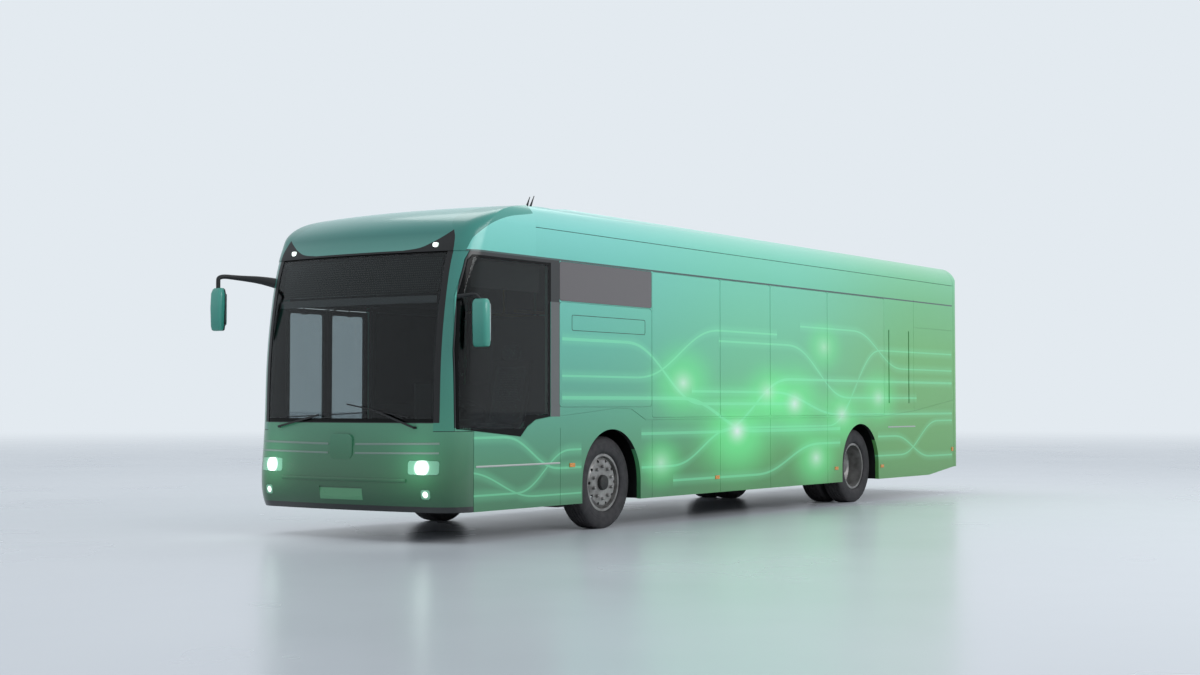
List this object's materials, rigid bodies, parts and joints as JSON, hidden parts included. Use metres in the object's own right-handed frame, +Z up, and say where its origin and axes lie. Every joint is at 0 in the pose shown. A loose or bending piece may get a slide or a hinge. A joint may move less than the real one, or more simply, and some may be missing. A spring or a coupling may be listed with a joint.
{
  "type": "city bus",
  "caption": "Low floor battery electric city bus with two double-leaf doors, steered front axle and twin rear wheels.",
  "frame": {"origin": "on the road under the middle of the bus's bounding box", "axes": "+X forward, +Y to the bus's left, +Z up"},
  "size_m": [12.197, 3.3, 3.3199],
  "materials": {
    "green": "gloss paint",
    "green_panel": "painted moulding, gloss",
    "dark_paint": "satin black coat",
    "underbody": "matt coat",
    "grey_paint": "satin paint",
    "glass": "tinted",
    "lens": "clear",
    "orange_lens": "lens",
    "red_lens": "lens",
    "display": "blank display",
    "tyre": "rubber",
    "rim": "silver paint",
    "iron": "bare",
    "black_plastic": "moulded",
    "interior": "grained",
    "seat": "woven",
    "rail": "powder coat"
  },
  "bodies": {
    "body": {"floor_frame": "underbody", "rear_platform": "underbody", "cab_plinth": "underbody", "side_wall_left": "green", "side_wall_right": "green", "roof_skin": "grey_paint", "roof_fairings": "green_panel", "roof_cap": "green_panel", "front_arch": "green_panel", "front_panel": "green_panel", "rear_wall": "green_panel", "windscreen": "glass", "destination_sign": "display", "side_glass_left": "glass", "side_glass_right": "glass", "wheel_housings": "black_plastic", "front_axle": "iron", "rear_axle": "iron", "drive_unit": "underbody", "dashboard": "interior", "driver_seat": "seat", "cab_partition": "interior", "passenger_seats": "seat", "grab_rails": "rail", "battery_packs": "grey_paint", "roof_aircon": "grey_paint", "mirror_left": "black_plastic", "mirror_right": "black_plastic", "wipers": "black_plastic", "headlamps": "lens", "side_markers": "orange_lens", "tail_lamps": "red_lens"},
    "knuckle_left": {"knuckle_left": "iron"},
    "front_wheel_left": {"front_rim_left": "rim", "front_tyre_left": "tyre"},
    "rear_wheels_left": {"rear_rims_left": "rim", "rear_tyres_left": "tyre"},
    "knuckle_right": {"knuckle_right": "iron"},
    "front_wheel_right": {"front_rim_right": "rim", "front_tyre_right": "tyre"},
    "rear_wheels_right": {"rear_rims_right": "rim", "rear_tyres_right": "tyre"},
    "front_door_fore_pillar": {"front_door_fore_pillar": "dark_paint"},
    "front_door_fore_leaf": {"front_door_fore_leaf": "dark_paint", "front_door_fore_glass": "glass"},
    "front_door_aft_pillar": {"front_door_aft_pillar": "dark_paint"},
    "front_door_aft_leaf": {"front_door_aft_leaf": "dark_paint", "front_door_aft_glass": "glass"},
    "middle_door_fore_pillar": {"middle_door_fore_pillar": "dark_paint"},
    "middle_door_fore_leaf": {"middle_door_fore_leaf": "dark_paint", "middle_door_fore_glass": "glass"},
    "middle_door_aft_pillar": {"middle_door_aft_pillar": "dark_paint"},
    "middle_door_aft_leaf": {"middle_door_aft_leaf": "dark_paint", "middle_door_aft_glass": "glass"},
    "rear_lid": {"rear_lid": "green_panel"}
  },
  "joints": [
    {"name": "steer_left", "type": "hinge", "parent": "body", "child": "knuckle_left", "pos_m": [3.1735, 0.9, 0.479], "axis": [0, 0, 1], "range_deg": [-42, 42]},
    {"name": "spin_front_left", "type": "hinge", "parent": "knuckle_left", "child": "front_wheel_left", "pos_m": [3.1735, 1.052, 0.479], "axis": [0, 1, 0], "continuous": true},
    {"name": "spin_rear_left", "type": "hinge", "parent": "body", "child": "rear_wheels_left", "pos_m": [-2.7265, 1.052, 0.479], "axis": [0, 1, 0], "continuous": true},
    {"name": "steer_right", "type": "hinge", "parent": "body", "child": "knuckle_right", "pos_m": [3.1735, -0.9, 0.479], "axis": [0, 0, 1], "range_deg": [-42, 42]},
    {"name": "spin_front_right", "type": "hinge", "parent": "knuckle_right", "child": "front_wheel_right", "pos_m": [3.1735, -1.052, 0.479], "axis": [0, 1, 0], "continuous": true},
    {"name": "spin_rear_right", "type": "hinge", "parent": "body", "child": "rear_wheels_right", "pos_m": [-2.7265, -1.052, 0.479], "axis": [0, 1, 0], "continuous": true},
    {"name": "front_door_fore_swing", "type": "hinge", "parent": "body", "child": "front_door_fore_pillar", "pos_m": [5.41244, -1.195, 0.34], "axis": [0, 0, -1], "range_deg": [0, 86]},
    {"name": "front_door_fore_fold", "type": "hinge", "parent": "front_door_fore_pillar", "child": "front_door_fore_leaf", "pos_m": [5.1185, -1.255, 0.34], "axis": [0, 0, 1], "range_deg": [0, 172]},
    {"name": "front_door_aft_swing", "type": "hinge", "parent": "body", "child": "front_door_aft_pillar", "pos_m": [4.13456, -1.195, 0.34], "axis": [0, 0, 1], "range_deg": [0, 86]},
    {"name": "front_door_aft_fold", "type": "hinge", "parent": "front_door_aft_pillar", "child": "front_door_aft_leaf", "pos_m": [4.4285, -1.255, 0.34], "axis": [0, 0, -1], "range_deg": [0, 172]},
    {"name": "middle_door_fore_swing", "type": "hinge", "parent": "body", "child": "middle_door_fore_pillar", "pos_m": [1.01244, -1.195, 0.34], "axis": [0, 0, -1], "range_deg": [0, 86]},
    {"name": "middle_door_fore_fold", "type": "hinge", "parent": "middle_door_fore_pillar", "child": "middle_door_fore_leaf", "pos_m": [0.7185, -1.255, 0.34], "axis": [0, 0, 1], "range_deg": [0, 172]},
    {"name": "middle_door_aft_swing", "type": "hinge", "parent": "body", "child": "middle_door_aft_pillar", "pos_m": [-0.26544, -1.195, 0.34], "axis": [0, 0, 1], "range_deg": [0, 86]},
    {"name": "middle_door_aft_fold", "type": "hinge", "parent": "middle_door_aft_pillar", "child": "middle_door_aft_leaf", "pos_m": [0.0285, -1.255, 0.34], "axis": [0, 0, -1], "range_deg": [0, 172]},
    {"name": "rear_lid_hinge", "type": "hinge", "parent": "body", "child": "rear_lid", "pos_m": [-6.0885, 0, 1.614], "axis": [0, 1, 0], "range_deg": [0, 85]}
  ],
  "couplings": [
    {"joint": "steer_right", "follows": "steer_left", "ratio": 1},
    {"joint": "front_door_fore_fold", "follows": "front_door_fore_swing", "ratio": 2},
    {"joint": "front_door_aft_fold", "follows": "front_door_aft_swing", "ratio": 2},
    {"joint": "middle_door_fore_fold", "follows": "middle_door_fore_swing", "ratio": 2},
    {"joint": "middle_door_aft_fold", "follows": "middle_door_aft_swing", "ratio": 2}
  ]
}
